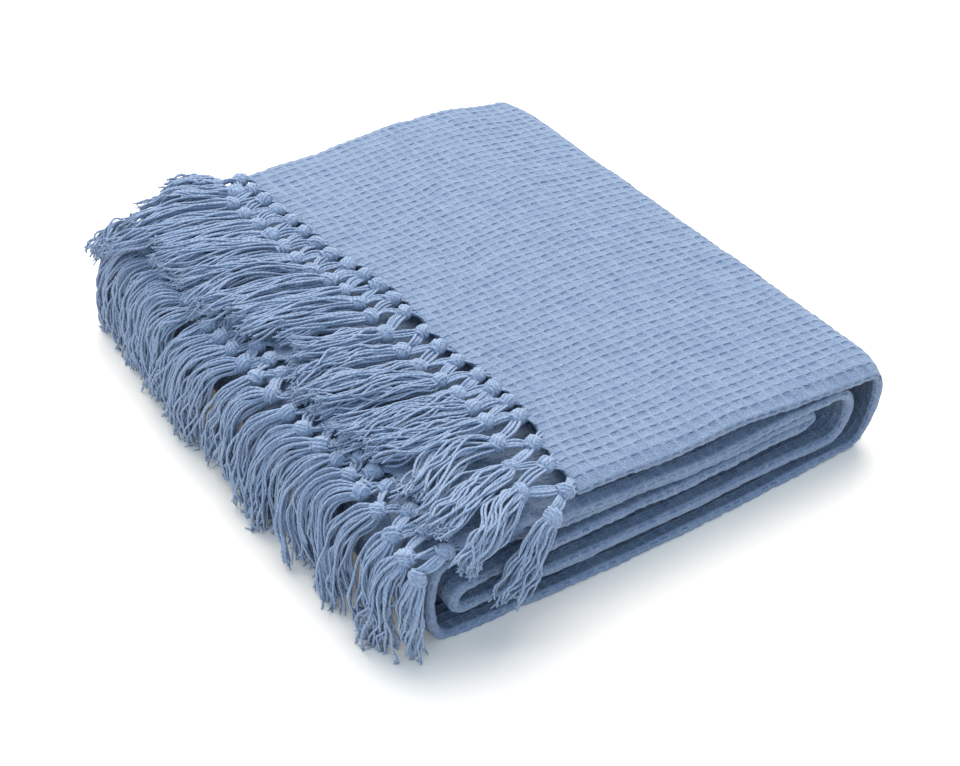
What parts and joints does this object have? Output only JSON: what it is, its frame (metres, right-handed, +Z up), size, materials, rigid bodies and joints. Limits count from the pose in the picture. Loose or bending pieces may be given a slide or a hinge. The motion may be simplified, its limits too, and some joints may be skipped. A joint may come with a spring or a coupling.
{
  "type": "folded waffle weave cotton blanket",
  "caption": "Waffle weave cotton throw folded into a low bundle, with knotted tassel fringes along both cut ends on one side.",
  "frame": {"origin": "middle of the bounding box, on the surface that the bundle lies on", "axes": "+X from the fringed side to the big outer fold, +Y along the fringe from the near side to the far side, +Z up"},
  "size_m": [0.3862, 0.423, 0.083],
  "materials": {
    "waffle_cotton": "matt light blue cotton in a small waffle weave",
    "fringe_yarn": "matt light blue plied cotton yarn"
  },
  "bodies": {
    "root": {"blanket_cloth": "waffle_cotton", "fringe_top": "fringe_yarn", "fringe_lower": "fringe_yarn"}
  },
  "joints": []
}
